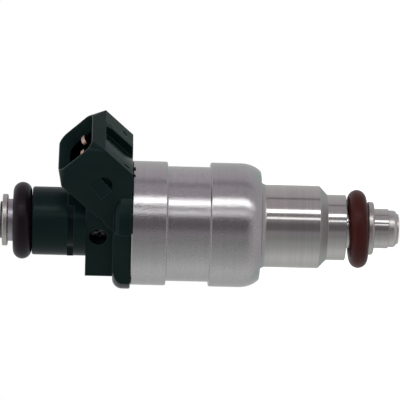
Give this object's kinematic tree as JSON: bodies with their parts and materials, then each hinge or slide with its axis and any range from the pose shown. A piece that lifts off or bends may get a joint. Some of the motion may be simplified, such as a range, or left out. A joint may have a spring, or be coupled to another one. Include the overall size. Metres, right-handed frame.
{
  "type": "fuel injector",
  "caption": "Electromagnetic port fuel injector with an angled plug socket, stepped steel housing, turned neck and rubber seals at both ends.",
  "frame": {"origin": "centre of the lower seal, on the injector's axis", "axes": "+Z along the injector's axis to the fuel inlet, +X on the side that the plug socket leans to"},
  "size_m": [0.0334, 0.0236, 0.0756],
  "materials": {
    "green_nylon": "moulded, glass-filled, satin",
    "housing_steel": "satin zinc plated",
    "turned_steel": "finely turned",
    "tube_steel": "drawn and turned",
    "washer_steel": "stamped",
    "tip_steel": "turned",
    "ground_steel": "ground",
    "spring_steel": "drawn wire",
    "terminal_copper": "bare stamped alloy",
    "coil_copper": "enamelled wire",
    "filter_rim_steel": "blackened",
    "filter_screen": "fine woven wire",
    "filter_nylon": "moulded",
    "bobbin_nylon": "moulded",
    "rail_seal_rubber": "smooth moulded",
    "manifold_seal_rubber": "smooth moulded",
    "inner_rubber": "smooth moulded"
  },
  "bodies": {
    "injector": {"inlet_core": "tube_steel", "flange_seal": "inner_rubber", "filter_ring": "filter_rim_steel", "filter_frame": "filter_nylon", "filter_mesh": "filter_screen", "upper_o_ring": "rail_seal_rubber", "lower_o_ring": "manifold_seal_rubber", "retaining_washer": "washer_steel", "valve_housing": "housing_steel", "nozzle_holder": "turned_steel", "orifice_disc": "ground_steel", "spray_cap": "tip_steel", "seat_body": "ground_steel", "stop_plate": "ground_steel", "return_spring": "spring_steel", "adjusting_sleeve": "ground_steel", "terminal_left": "terminal_copper", "terminal_right": "terminal_copper", "coil_bobbin": "bobbin_nylon", "coil_winding": "coil_copper", "bobbin_seal_upper": "inner_rubber", "bobbin_seal_lower": "inner_rubber", "connector_body": "green_nylon"},
    "needle_assembly": {"armature": "ground_steel", "valve_needle": "ground_steel"}
  },
  "joints": [
    {"name": "needle_lift", "type": "slide", "parent": "injector", "child": "needle_assembly", "axis": [0, 0, 1], "range_m": [0, 0.00015], "stiffness_N_per_m": 1500, "springref_m": -0.0008, "deforming": ["return_spring"]}
  ]
}
